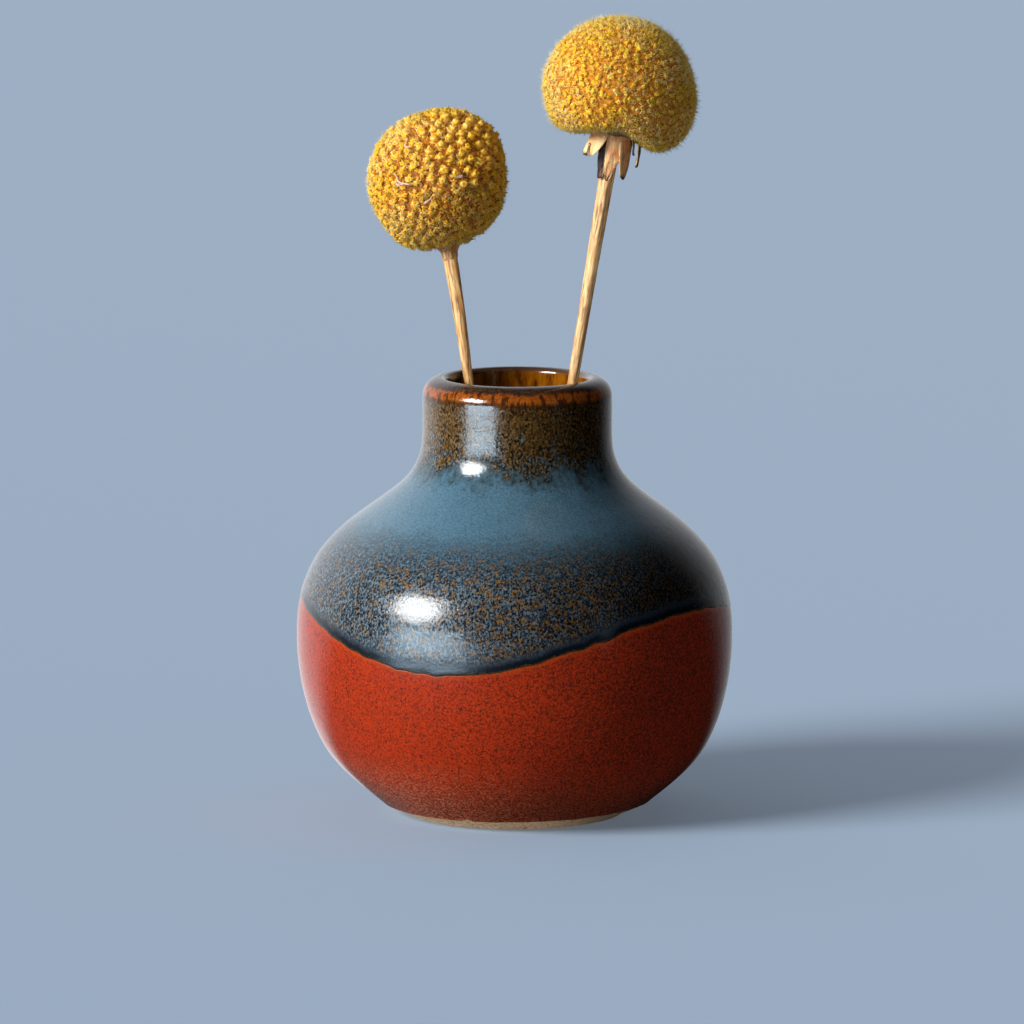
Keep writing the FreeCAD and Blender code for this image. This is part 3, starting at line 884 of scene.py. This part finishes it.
blueGlaze = {
    # height on the pot, colour
    "zones": [(30.0, (70, 86, 98)), (44.0, (50, 64, 78)), (53.0, (56, 82, 98)), (58.5, (82, 115, 133)),
              (65.0, (78, 109, 126)), (69.0, (54, 70, 74)), (72.0, (54, 48, 32)), (79.0, (58, 42, 20)),
              (81.2, (74, 42, 14)), (81.9, (162, 84, 20)), (83.0, (150, 74, 18)), (83.5, (60, 40, 28)),
              (84.5, (62, 50, 44))],
    # where each effect starts and is full, in height
    "loose": (56.0, 67.0), "held": (74.0, 81.0), "belly": (60.0, 49.0), "neck": (67.0, 71.0), "lip": (81.5, 80.0),
    "collar": (69.5, 74.0), "collarTop": (81.3, 79.5), "streaks": (79.5, 81.5), "browner": (70.0, 75.0),
    "slowDrift": 9.0, "quickDrift": 8.0,
    "spotSize": 0.42, "ochre": (150, 112, 58), "mist": (116, 131, 140), "gap": (5, 9, 14),
    "streak": (40, 20, 10), "rust": (96, 68, 26),
    # painted shade on the right, away from the key light: how far right it is full, and what is left of the colour:
    # shoulder, then speckled parts
    "paintedShade": ((38.0, 0.32), (29.0, 0.14)), "paintedShadeFrom": -22.0,
    # round the dip line: distance where it starts and is full, share, colour
    "edges": [(3.4, 1.3, 0.66, (30, 42, 54)), (1.9, 0.75, 0.94, (4, 9, 20)), (0.22, 0.08, 0.8, (66, 52, 20))],
    # sharp mirror on the neck, softer at the dip's edge, with a thin milky coat
    "gloss": {"edge": 0.27, "neck": 0.09, "from": 38.0, "to": 41.5}, "specular": 0.42, "coat": (0.06, 0.36),
}


def blueMaterial():
    b = blueGlaze
    made, tree, surface = material("blue_dip")
    where = inMm(tree)
    x, _, z = partsOf(where)
    away = markNode(tree, "fromDip")
    slow = noiseNode(where, 0.20, 3.0)
    # the zones waver by a few mm, but hold their place near the lip
    loose = times(easeNode(z, *b["held"], 1.0, 0.12), easeNode(z, *b["loose"], 0.4, 1.0))
    drift = plus(swing(slow, b["slowDrift"]), swing(noiseNode(where, 0.9, 2.0), b["quickDrift"]))
    level = plus(z, times(drift, loose))
    low, high = b["zones"][0][0], b["zones"][-1][0]
    colour = rampNode(ratio(minus(level, low), high - low), [((h - low) / (high - low), c) for h, c in b["zones"]])
    # speckled low down and on the neck, clean on the shoulder
    neck = times(easeNode(level, *b["neck"]), easeNode(z, *b["lip"]))
    either = put(tree, "Math", {0: easeNode(level, *b["belly"]), 1: neck}, operation="MAXIMUM").outputs[0]
    spotted = times(either, easeNode(away, 0.8, 2.6, 0.25, 1.0))
    upright = stretched(where, 1, 1, 0.75)
    light = use(speckle, Where=upright, Size=b["spotSize"], Cover=0.42, Soft=0.06)["Mask"]
    dark = use(speckle, Where=shifted(upright, 31, 17, 5), Size=b["spotSize"], Cover=0.62, Soft=0.09)["Mask"]
    browner = plus(noiseNode(shifted(where, 3, 40, 9), 0.75, 2.0), easeNode(x, -35.0, 20.0, -0.06, 0.03),
                   easeNode(level, *b["browner"], 0.0, 0.16))
    spot = over(easeNode(browner, 0.42, 0.58), paint(*b["mist"]), paint(*b["ochre"]))
    colour = over(times(dark, spotted, 0.92), colour, paint(*b["gap"]))
    colour = over(times(light, spotted, 0.74), colour, spot)
    # the neck is blotched in rust and near black
    blotch = easeNode(noiseNode(shifted(where, 60, 4, 1), 0.62, 3.0, 0.62), 0.40, 0.62)
    collar = times(easeNode(level, *b["collar"]), easeNode(z, *b["collarTop"]))
    colour = over(times(collar, blotch, 0.55), colour, paint(*b["rust"]))
    # painted shade: darker away to the right, on the side the key light misses
    paintedShade = plus(x, swing(slow, 14.0))
    teal, shadedSide = (easeNode(paintedShade, b["paintedShadeFrom"], end, 1.0, least) for end, least in b["paintedShade"])
    shade = plus(teal, times(spotted, minus(shadedSide, teal)))
    grain = easeNode(noiseNode(where, 2.7, 1.0), 0.3, 0.7, 0.80, 1.22)
    colour = scaled(scaled(colour, shade), grain)
    # burnt streaks round the amber ring
    runny = easeNode(noiseNode(stretched(where, 1, 1, 0.22), 1.25, 3.0, 0.6), 0.47, 0.60)
    colour = over(times(runny, easeNode(z, *b["streaks"]), 0.85), colour, paint(*b["streak"]))
    # dark line and burnt fringe where the dip stops
    torn = plus(away, swing(noiseNode(where, 1.3, 3.0), 0.9))
    for first, full, share, tone in b["edges"]:
        colour = over(easeNode(torn, first, full, 0.0, share), colour, paint(*tone))
    skin = use(glazeSkin, Where=where, Ripple=0.035, Peel=0.027, Pinholes=0.02)["Height"]
    g = b["gloss"]
    dress(surface, colour, plus(skin, times(light, spotted, 0.006)), {
        "Roughness": easeNode(z, g["from"], g["to"], g["edge"], g["neck"]), "Specular IOR Level": b["specular"],
        "Coat Weight": b["coat"][0], "Coat Roughness": b["coat"][1]})
    return made


redGlaze = {
    # lit is the red in the key light, and the dark red beside it is the same red in painted shade
    "lit": (170, 48, 12), "shadedSide": (132, 34, 9), "burn": (110, 42, 22), "spot": (36, 24, 18), "bare": (124, 62, 36),
    # the pale speck colour is painted light for the lower left
    "litSpecks": (206, 130, 92),
    # round the dip line: distance where it starts and is full, share, colour
    "edges": [(-1.3, -0.3, 0.4, (176, 70, 20)), (-0.2, -0.05, 0.7, (70, 40, 20))],
    "roughness": 0.16, "specular": 0.2, "coat": (0.1, 0.45),
}


def redMaterial():
    r = redGlaze
    made, tree, surface = material("red_dip")
    where = inMm(tree)
    x, _, z = partsOf(where)
    patch = noiseNode(where, 0.5, 3.0, 0.6)
    # painted shade: the lit red turns to the dark red towards the right, away from the key light, moved about by slow
    # drifts
    side = easeNode(plus(x, swing(noiseNode(where, 0.09, 3.0), 60.0)), -20.0, 42.0)
    colour = over(times(side, 0.55), paint(*r["lit"]), paint(*r["shadedSide"]))
    colour = over(easeNode(patch, 0.45, 0.75, 0.0, 0.3), colour, paint(*r["burn"]))
    low = easeNode(plus(z, times(patch, 6.0)), 14.0, 6.0)
    colour = over(times(low, 0.32), colour, paint(*r["bare"]))
    # small dark spots, denser towards the foot, and denser to the right as painted shade
    cover = plus(easeNode(x, -25.0, 30.0, 0.30, 0.50), times(low, 0.16))
    spots = use(speckle, Where=where, Size=0.42, Cover=cover, Soft=0.07)["Mask"]
    colour = over(times(spots, 0.72), colour, paint(*r["spot"]))
    # pale specks low on the left, where the key and the floor light the glaze: painted light
    litSpecks = use(speckle, Where=shifted(where, 5, 5, 70), Size=0.45, Cover=0.34, Soft=0.08)["Mask"]
    leftLow = times(easeNode(z, 17.0, 6.0), easeNode(x, 18.0, -22.0, 0.15, 0.75))
    colour = over(times(litSpecks, leftLow), colour, paint(*r["litSpecks"]))
    flecks = use(speckle, Where=shifted(where, 9, 50, 3), Size=0.8, Cover=0.12, Soft=0.03)["Mask"]
    colour = over(times(flecks, 0.5), colour, paint(*r["spot"]))
    colour = scaled(colour, easeNode(noiseNode(where, 3.0, 1.0), 0.3, 0.7, 0.80, 1.20))
    torn = plus(markNode(tree, "fromDip"), swing(noiseNode(where, 1.6, 3.0), 1.1))
    for first, full, share, tone in r["edges"]:
        colour = over(easeNode(torn, first, full, 0.0, share), colour, paint(*tone))
    skin = use(glazeSkin, Where=where, Ripple=0.03, Peel=0.014, Pinholes=0.015)["Height"]
    dress(surface, colour, skin, {"Roughness": r["roughness"], "Specular IOR Level": r["specular"],
                                  "Coat Weight": r["coat"][0], "Coat Roughness": r["coat"][1]})
    return made


amberGlaze = {
    "runs": [(0.3, (58, 26, 2)), (0.5, (122, 66, 4)), (0.7, (150, 92, 12))], "crest": (68, 50, 42),
    "roughness": 0.14, "coat": (0.5, 0.06),
}


def amberMaterial():
    # darker down inside and on the left, where the lip keeps the light off, and brown over the crest
    a = amberGlaze
    made, tree, surface = material("amber_inside")
    where = inMm(tree)
    x, _, z = partsOf(where)
    runs = noiseNode(stretched(where, 1, 1, 0.3), 0.8, 3.0, 0.6)
    depth = times(easeNode(z, 50.0, 82.0, 0.3, 1.1), easeNode(x, -11.0, 7.0, 0.04, 1.0))
    crest = easeNode(plus(z, times(runs, 1.2)), 83.9, 84.9)
    colour = over(crest, scaled(rampNode(runs, a["runs"]), depth), paint(*a["crest"]))
    skin = use(glazeSkin, Where=where, Ripple=0.03, Peel=0.01, Pinholes=0.01)["Height"]
    dress(surface, colour, skin, {"Roughness": a["roughness"], "Coat Weight": a["coat"][0],
                                  "Coat Roughness": a["coat"][1]})
    return made


clay = {
    "sand": [(0.3, (170, 128, 90)), (0.5, (228, 188, 142)), (0.7, (242, 212, 170))], "grit": (74, 48, 32),
    # painted shadow on the right: where it starts and is full in x, and the share of the colour left before and after
    "shadowRight": (4.0, 19.0, 1.0, 0.42), "roughness": 0.85,
}


def clayMaterial():
    # sandy and gritty, with faint turning lines, and a painted shadow darkening it to the right
    made, tree, surface = material("bare_clay")
    where = inMm(tree)
    sand = noiseNode(where, 1.4, 4.0, 0.65)
    grit = use(speckle, Where=where, Size=0.5, Cover=0.2, Soft=0.03)["Mask"]
    colour = over(times(grit, 0.6), rampNode(sand, clay["sand"]), paint(*clay["grit"]))
    colour = scaled(colour, easeNode(partsOf(where)[0], *clay["shadowRight"]))
    turned = put(tree, "TexWave", {"Vector": where, "Scale": 0.9, "Distortion": 1.5, "Detail": 1.0},
                 wave_type="BANDS", bands_direction="Z").outputs[1]
    dress(surface, colour, plus(times(sand, 0.10), times(turned, 0.02)), {"Roughness": clay["roughness"]})
    return made


# light, middle and dark tone, then how fine the fibres are
fibreLooks = {
    "left_dry_stem": ((252, 206, 136), (226, 166, 96), (150, 96, 48), 1.0),
    "left_pith": ((228, 176, 104), (198, 140, 74), (136, 88, 42), 0.7),
    "right_dry_stem": ((254, 212, 148), (236, 180, 112), (160, 106, 58), 1.0),
    "right_pith": ((176, 132, 84), (132, 88, 52), (72, 44, 26), 0.9),
    "dry_scrap": ((250, 226, 204), (232, 200, 170), (180, 132, 96), 1.6),
}


def fibreMaterial(name):
    light, mid, dark, fineness = fibreLooks[name]
    made, tree, surface = material(name)
    fibre = use(dryFibre, Where=markNode(tree, "straight", "Vector"), Light=paint(*light), Mid=paint(*mid),
                Dark=paint(*dark), Fineness=fineness)
    dress(surface, fibre["Colour"], fibre["Height"], {"Roughness": 0.62}, 0.9)
    return made


bractTones = [(0.0, (250, 212, 150)), (0.35, (240, 164, 100)), (0.62, (168, 138, 92)), (0.85, (122, 72, 42)),
              (1.0, (40, 16, 8))]


def bractMaterial(name, hue):
    # hue runs from cream (0) through peach and olive to dark brown (1); edges stay pale, tips are burnt
    made, tree, surface = material(name)
    across, fall, _ = partsOf(markNode(tree, "scaleMark", "Vector"))
    where = markNode(tree, "straight", "Vector")
    veins = noiseNode(stretched(where, 1, 1, 0.12), 2.2, 3.0, 0.6)
    drift = plus(swing(veins, 0.9), swing(noiseNode(where, 0.7, 2.0), 0.8))
    colour = rampNode(plus(drift, hue, clamp=True), bractTones)
    side = put(tree, "Math", {0: across}, operation="ABSOLUTE").outputs[0]
    colour = over(easeNode(side, 0.62, 0.95, 0.0, 0.65), colour, paint(*bractTones[0][1]))
    burnt = easeNode(plus(fall, times(veins, 0.3)), 1.0, 1.14, 0.0, 0.85)
    colour = over(burnt, colour, paint(*bractTones[-1][1]))
    dress(surface, colour, veins, {"Roughness": 0.7}, 0.7, 0.25 * mm)
    return made


leftTones = {
    "Root": (176, 90, 2), "Gold": (255, 186, 2), "Cream": (255, 226, 156), "Eye": (252, 132, 2),
    "shares": (0.95, 0.6), "core": [(0.3, (136, 76, 2)), (0.7, (204, 122, 4))],
}
rightTones = {
    "Root": (190, 112, 2), "Gold": (255, 194, 4), "Cream": (255, 233, 164), "Eye": (250, 128, 2),
    "shares": (0.85, 0.4), "core": [(0.3, (176, 108, 2)), (0.7, (236, 156, 4))],
}


def floretMaterial(name, f):
    made, tree, surface = material(name)
    tones = {key: paint(*f[key]) for key in ("Root", "Gold", "Cream", "Eye")}
    tone = use(floretTone, Mark=markNode(tree, "floretMark", "Vector"), Where=inMm(tree), Creaminess=f["shares"][0],
               EyeShare=f["shares"][1], **tones)
    dress(surface, tone["Colour"], tone["Height"], {
        "Roughness": 0.78, "Subsurface Weight": 0.45, "Subsurface Radius": (1.0, 0.6, 0.12),
        "Subsurface Scale": 1.1 * mm, "Specular IOR Level": 0.25}, 0.6, 0.12 * mm)
    return made


def coreMaterial(name, f):
    made, tree, surface = material(name)
    noise = noiseNode(inMm(tree), 1.2, 3.0)
    dress(surface, rampNode(noise, f["core"]), noise, {"Roughness": 0.9}, 1.0, 0.4 * mm)
    return made


def fit(piece, body, slot, look, *nodes):
    piece.data.materials.clear()
    piece.data.materials.append(look)
    if nodes:
        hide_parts(*nodes)
    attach(piece, body)
    return piece


def buildVase():
    fit(clayBody(), "vase", "bare_clay", clayMaterial(), "clay_body")
    fit(redCoat(), "vase", "red_glaze", redMaterial(), "lower_red_glaze")
    fit(blueCoat(), "vase", "blue_glaze", blueMaterial(), "upper_blue_glaze")
    fit(amberLiner(), "vase", "amber_glaze", amberMaterial(), "inner_amber_glaze")
    print("pot built")


# reach and height of each receptacle, and how many ribs it has
leftHeart = [(0, -0.4), (1.2, -0.35), (1.5, 0.2), (1.6, 1.0), (3.2, 3.5), (4.0, 6.5), (3.6, 9.0), (0, 9.6)], 7
rightHeart = [(0, -0.9), (1.5, -0.8), (2.4, 0.2), (3.4, 1.2), (4.6, 2.1), (4.6, 3.0), (4.0, 8.6), (0, 9.0)], 9


def buildFlower(side, s, heart, h, tones, slot, headNode):
    # stem and heart, then the head: its dark core stands for the CAD head, with florets and hairs round it
    body = side + "_flower"
    fit(stemPiece(side + "_dry_stem", s), body, "dry_stem", fibreMaterial(side + "_dry_stem"), side + "_stem")
    heartPart = heartPiece(side + "_heart", s, *heart)
    fit(heartPart, body, "dry_pith", fibreMaterial(side + "_pith"), side + "_receptacle")
    fit(corePiece(side + "_head_core", h), body, slot, coreMaterial(side + "_head_depth", tones), headNode)
    look = floretMaterial(side + "_florets", tones)
    fit(headFlorets(side + "_florets", s, h), body, slot, look)
    fit(fuzzPiece(side + "_fuzz", s, h), body, slot, look)


buildVase()
buildFlower("left", leftFlower, leftHeart, leftHead, leftTones, "golden_florets", "left_floret_globe")
fit(scrapPiece("left_petal_scraps", leftHead), "left_flower", "golden_florets", fibreMaterial("dry_scrap"))
print("left flower built")
buildFlower("right", rightFlower, rightHeart, rightHead, rightTones, "ochre_florets", "right_floret_dome")
for bractName, values in bractShapes.items():
    shape = dict(zip(bractKeys, values))
    bractLook = bractMaterial(bractName + "_look", shape["hue"])
    fit(bractPiece(bractName, rightFlower, shape), "right_flower", "papery_bract", bractLook, bractName)
print("right flower built")


# lengths here are in metres; a lamp's place is turn, rise and distance, and aim the height it looks at
studio = {
    "tone": (156, 172, 191),     # floor as it is seen
    "sky": (155, 171, 188),      # backdrop
    "ambient": 0.19,             # even light from all round
    "mirror": (170, 172, 176),   # the same as the glaze mirrors them
    "keyShare": 0.6,             # share of the floor's tone that is the key light
    "key_softbox": {"place": (-57.0, 25.0, 2.4), "size": (1.16, 0.88), "power": 84.0, "aim": 0.045},
    "low_card": {"place": (-45.0, 0.0, 0.40), "size": (0.27, 0.085), "power": 1.22, "aim": 0.06},
    "side_strip": {"place": (47.0, 8.0, 0.8), "size": (0.03, 0.5), "power": 0.045, "aim": 0.045},
    "daylight": (0.95, 0.98, 1.0), "cool": (0.62, 0.83, 1.0),
    "bounce": 0.78,              # floor as it lights the pot from below, and its shares on the right and left
    "bounceSides": (0.7, 1.6),
    "dim": 0.012,                # studio on the viewer's side
    "leftMirror": 2.6, "rightMirror": 0.9,
    "mirrorStart": (0.15, 0.42), "mirrorFull": (0.50, 0.94),   # how far behind the pot it is bright, left and right
    "leftGlow": 0.30,            # floor on the key's side as the glaze mirrors it
    "floorHalf": 4.0,
    "camera": {"lens": 316.8, "place": (0.0, -1.7146, 0.3186), "aim": (-0.00067, 0.0, 0.0582)},
}


def lookFrom(place, target):
    return (Vector(place) - Vector(target)).to_track_quat("Z", "Y").to_euler()


def lampPlace(lamp, aim=0.045):
    # on a ball round the middle of the belly, turn from the front towards +X
    turn, rise, away = lamp["place"]
    a, e = math.radians(turn), math.radians(rise)
    return Vector((0, 0, aim)) + away * Vector((math.sin(a) * math.cos(e), -math.cos(a) * math.cos(e), math.sin(e)))


def softbox(name, shape="RECTANGLE", sheenOnly=True):
    s = studio[name]
    lamp = bpy.data.lights.new(name, "AREA")
    lamp.shape, lamp.size, lamp.size_y, lamp.energy = shape, *s["size"], s["power"]
    lamp.color = studio["cool"] if sheenOnly else studio["daylight"]
    thing = bpy.data.objects.new(name, lamp)
    thing.location = lampPlace(s)
    thing.rotation_euler = lookFrom(thing.location, (0, 0, s["aim"]))
    thing.visible_diffuse = not sheenOnly
    bpy.context.scene.collection.objects.link(thing)


def behindMask(x, y):
    # 0 on the viewer's side and 1 behind the pot, brighter on the left than on the right
    s = studio
    side = easeNode(x, -0.6, 0.6, s["leftMirror"], s["rightMirror"])
    start, full = easeNode(x, -0.6, 0.6, *s["mirrorStart"]), easeNode(x, -0.6, 0.6, *s["mirrorFull"])
    return times(easeNode(y, start, full, s["dim"], 1.0), side)


def buildFloor():
    # seen tone = key light on it + its own glow, which makes up what the key leaves short:
    # key at a point = height * facing / distance^3, as a share of the key under the pot
    s = studio
    half = s["floorHalf"]
    mesh = bpy.data.meshes.new("studio_floor")
    mesh.from_pydata([(-half, -half, 0), (half, -half, 0), (half, half, 0), (-half, half, 0)], [], [(0, 1, 2, 3)])
    floor = bpy.data.objects.new("studio_floor", mesh)
    bpy.context.scene.collection.objects.link(floor)
    look = bpy.data.materials.new("studio_floor")
    look.use_nodes = True
    tree = look.node_tree
    tree.nodes.clear()
    where = put(tree, "TexCoord").outputs["Object"]
    lamp = lampPlace(s["key_softbox"])
    facing = (Vector((0, 0, s["key_softbox"]["aim"])) - lamp).normalized()
    gone = vectorNode("SUBTRACT", where, tuple(lamp))
    reach = put(tree, "VectorMath", {0: gone}, operation="LENGTH").outputs["Value"]
    square = vectorNode("DOT_PRODUCT", gone, tuple(facing), output="Value")
    here = ratio(square, put(tree, "Math", {0: reach, 1: 4.0}, operation="POWER").outputs[0])
    under = -lamp.dot(facing) / lamp.length ** 4
    light = s["key_softbox"]["power"] / math.pi ** 2 * -lamp.dot(facing) * lamp.z / lamp.length ** 4
    even = 1 - s["ambient"] * s["keyShare"] / light
    glow = minus(even, times(ratio(here, under), s["keyShare"]), clamp=True)
    tone = paint(*s["tone"])
    cloth = (*[channel * s["keyShare"] / light for channel in tone[:3]], 1)
    seen = put(tree, "AddShader", {0: put(tree, "BsdfDiffuse", {"Color": cloth}).outputs[0],
                                   1: put(tree, "Emission", {"Color": tone, "Strength": glow}).outputs[0]}).outputs[0]
    x, y, _ = partsOf(put(tree, "VectorMath", {0: where}, operation="NORMALIZE").outputs[0])
    path = put(tree, "LightPath").outputs
    near = easeNode(x, -0.15, -0.85, 0.0, s["leftGlow"])
    mirrored = times(plus(behindMask(x, y), near), path["Is Glossy Ray"])
    bounce = times(easeNode(x, 0.9, -0.9, *s["bounceSides"]), s["bounce"])
    lit = plus(mirrored, times(path["Is Diffuse Ray"], bounce))
    other = put(tree, "Emission", {"Color": paint(*s["mirror"]), "Strength": lit}).outputs[0]
    surface = put(tree, "MixShader", {0: path["Is Camera Ray"], 1: other, 2: seen}).outputs[0]
    put(tree, "OutputMaterial", {0: surface})
    mesh.materials.append(look)


def buildWorld():
    # bright behind the pot, dim on the viewer's side, so the glaze mirrors a pale backdrop only at its edges
    s = studio
    world = bpy.data.worlds.new("studio")
    bpy.context.scene.world = world
    world.use_nodes = True
    tree = world.node_tree
    tree.nodes.clear()
    x, y, z = partsOf(put(tree, "TexCoord").outputs["Generated"])
    path = put(tree, "LightPath").outputs
    isMirror = path["Is Glossy Ray"]
    even = easeNode(isMirror, 0.0, 1.0, s["ambient"] / paint(*s["mirror"])[1], 0.0)
    above = times(behindMask(x, y), easeNode(z, 0.45, 0.95, 1.0, 0.25))
    lit = plus(times(above, easeNode(isMirror, 0.0, 1.0, 0.35, 1.0)), even)
    mirrored = put(tree, "Background", {"Color": paint(*s["mirror"]), "Strength": lit}).outputs[0]
    seen = put(tree, "Background", {"Color": paint(*s["sky"])}).outputs[0]
    sky = put(tree, "MixShader", {0: path["Is Camera Ray"], 1: mirrored, 2: seen}).outputs[0]
    put(tree, "OutputWorld", {0: sky})


def buildCamera():
    s = studio["camera"]
    lens = bpy.data.cameras.new("studio_camera")
    lens.lens, lens.sensor_width, lens.clip_start, lens.clip_end = s["lens"], 36.0, 0.05, 50.0
    camera = bpy.data.objects.new("studio_camera", lens)
    camera.location = s["place"]
    camera.rotation_euler = lookFrom(camera.location, s["aim"])
    bpy.context.scene.collection.objects.link(camera)
    bpy.context.scene.camera = camera


buildFloor()
buildWorld()
softbox("key_softbox", "ELLIPSE", sheenOnly=False)
softbox("low_card")
softbox("side_strip")
buildCamera()
bpy.context.scene.view_settings.view_transform = "Standard"
bpy.context.scene.view_settings.look = "None"
print("studio built")
